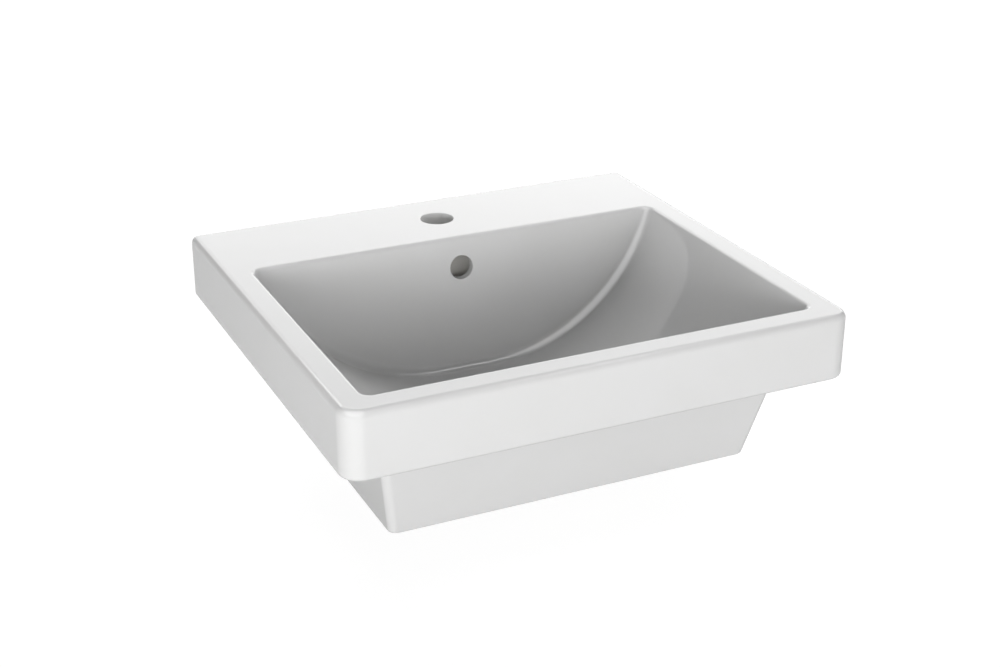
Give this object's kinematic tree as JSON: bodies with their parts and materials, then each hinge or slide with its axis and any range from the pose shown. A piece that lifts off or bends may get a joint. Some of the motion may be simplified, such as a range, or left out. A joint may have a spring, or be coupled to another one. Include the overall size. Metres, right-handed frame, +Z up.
{
  "type": "countertop basin",
  "caption": "Countertop wash basin: raised rectangular rim, bow-shaped bowl, tap hole, overflow, tapered body below and a push-open waste.",
  "frame": {"origin": "middle of the rim's plan, on the plane of the rim's underside, which is the counter's top", "axes": "+X to the right of someone standing in front, +Y to the back edge, +Z up out of the bowl"},
  "size_m": [0.5, 0.454, 0.214],
  "materials": {
    "glaze": "glossy white glaze",
    "chrome": "polished chrome plate",
    "rubber": "matte black rubber",
    "washer_plastic": "natural moulded plastic",
    "nut_brass": "machined brass",
    "cartridge_plastic": "white moulded acetal",
    "rotor_plastic": "grey moulded acetal",
    "spring_steel": "drawn stainless wire",
    "core_plastic": "grey moulded plastic"
  },
  "bodies": {
    "basin": {"basin": "glaze", "flange_gasket": "rubber", "waste_body": "chrome", "lower_gasket": "rubber", "slip_washer": "washer_plastic", "back_nut": "nut_brass", "cartridge_body": "cartridge_plastic", "cartridge_locknut": "nut_brass", "cartridge_spring": "spring_steel", "cartridge_cap": "cartridge_plastic"},
    "plug": {"cartridge_plunger": "cartridge_plastic", "plug_core": "core_plastic", "plug_cap": "chrome", "plug_gasket": "rubber"},
    "rotor": {"cartridge_rotor": "rotor_plastic"}
  },
  "joints": [
    {"name": "plug_slide", "type": "slide", "parent": "basin", "child": "plug", "axis": [0, 0, 1], "range_m": [0, 0.008], "deforming": ["cartridge_spring"]},
    {"name": "rotor_index", "type": "hinge", "parent": "plug", "child": "rotor", "pos_m": [0, 0.005, -0.105], "axis": [0, 0, 1], "range_deg": [0, 45]}
  ],
  "couplings": [
    {"joint": "rotor_index", "follows": "plug_slide", "rad_per_m": 98}
  ]
}
